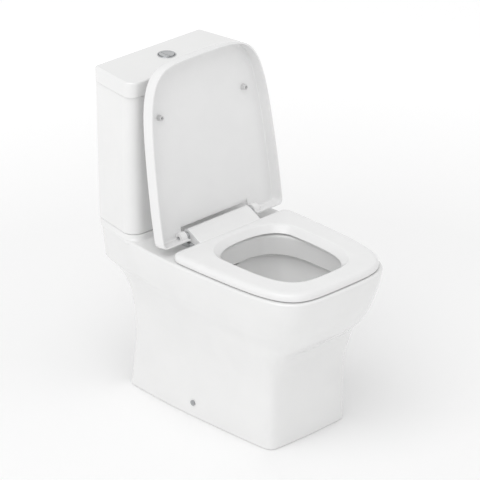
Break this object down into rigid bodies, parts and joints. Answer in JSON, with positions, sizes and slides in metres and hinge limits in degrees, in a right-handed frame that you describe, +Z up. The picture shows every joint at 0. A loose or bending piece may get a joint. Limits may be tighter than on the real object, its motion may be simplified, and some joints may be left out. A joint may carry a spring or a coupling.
{
  "type": "close coupled toilet",
  "caption": "Close coupled toilet with an open-back pan, a splayed cistern with a dual flush button, and a hinged seat and wrap-over cover, with its flush fittings inside.",
  "frame": {"origin": "on the floor, midway between the wall and the front of the rim, on the centre line", "axes": "+Z up; the wall is the plane y = +0.316 m and a user sits facing -Y; +X is the side with the fill valve"},
  "size_m": [0.371, 0.632, 0.8237],
  "materials": {
    "sanitaryware": "glossy white glaze",
    "seat_plastic": "moulded urea, gloss",
    "chromed_plastic": "chromed ABS",
    "chromed_metal": "chromed zinc",
    "steel": "bright zinc",
    "brass": "plain",
    "black_rubber": "matte",
    "red_rubber": "matte",
    "clear_rubber": "satin",
    "white_nylon": "satin",
    "translucent_plastic": "moulded",
    "blue_plastic": "moulded",
    "grey_plastic": "moulded",
    "cream_foam": "closed cell foam"
  },
  "bodies": {
    "root": {"pan": "sanitaryware", "cistern_tank": "sanitaryware", "coupling_gasket": "black_rubber", "flush_valve_base": "white_nylon", "flush_valve_backnut": "white_nylon", "flush_valve_cage": "translucent_plastic", "flush_valve_cap": "blue_plastic", "fill_valve_body": "white_nylon", "fill_valve_washer": "black_rubber", "fill_valve_backnut": "white_nylon", "fill_valve_cap": "blue_plastic", "cistern_bolts": "brass", "cistern_bolt_washers": "black_rubber", "cistern_wing_nuts": "brass", "hinge_posts": "chromed_metal", "hinge_pins": "chromed_metal", "seat_bolts": "steel", "seat_bolt_washers": "black_rubber", "seat_wing_nuts": "white_nylon", "floor_brackets": "white_nylon", "bracket_bolts": "steel", "side_screws": "steel", "side_screw_caps": "grey_plastic"},
    "lid": {"cistern_lid": "sanitaryware", "button_bezel": "chromed_plastic", "button_collar_nut": "white_nylon", "full_button_spring": "steel", "half_button_spring": "steel"},
    "full_button": {"full_flush_button": "chromed_plastic", "full_push_rod": "white_nylon"},
    "half_button": {"half_flush_button": "chromed_plastic", "half_push_rod": "white_nylon"},
    "flush_lift": {"overflow_tube": "white_nylon", "seal_retainer": "blue_plastic", "flush_seal": "red_rubber", "half_flush_float": "cream_foam"},
    "float": {"float_cup": "cream_foam", "float_link": "steel"},
    "arm": {"float_arm": "blue_plastic"},
    "seat": {"seat_ring": "seat_plastic", "seat_dampers": "grey_plastic", "seat_buffers": "clear_rubber"},
    "cover": {"seat_cover": "seat_plastic", "cover_buffers": "clear_rubber"}
  },
  "joints": [
    {"name": "cover_hinge", "type": "hinge", "parent": "root", "child": "cover", "pos_m": [0, 0.088, 0.424], "axis": [-1, 0, 0], "range_deg": [-99, 0]},
    {"name": "seat_hinge", "type": "hinge", "parent": "root", "child": "seat", "pos_m": [0, 0.088, 0.424], "axis": [-1, 0, 0], "range_deg": [0, 93]},
    {"name": "cistern_lid_lift", "type": "slide", "parent": "root", "child": "lid", "axis": [0, 0, 1], "range_m": [0, 0.12]},
    {"name": "full_button_press", "type": "slide", "parent": "lid", "child": "full_button", "axis": [0, 0, 1], "range_m": [-0.006, 0], "stiffness_N_per_m": 400, "deforming": ["full_button_spring"]},
    {"name": "half_button_press", "type": "slide", "parent": "lid", "child": "half_button", "axis": [0, 0, 1], "range_m": [-0.006, 0], "stiffness_N_per_m": 400, "deforming": ["half_button_spring"]},
    {"name": "flush_valve_lift", "type": "slide", "parent": "root", "child": "flush_lift", "axis": [0, 0, 1], "range_m": [0, 0.012]},
    {"name": "float_travel", "type": "slide", "parent": "root", "child": "float", "axis": [0, 0, 1], "range_m": [-0.012, 0]},
    {"name": "float_arm_pivot", "type": "hinge", "parent": "root", "child": "arm", "pos_m": [0.096, 0.249, 0.707], "axis": [0, 1, 0], "range_deg": [0, 17]}
  ],
  "couplings": [
    {"joint": "flush_valve_lift", "follows": "full_button_press", "ratio": -2},
    {"joint": "float_arm_pivot", "follows": "float_travel", "rad_per_m": -23.81}
  ]
}
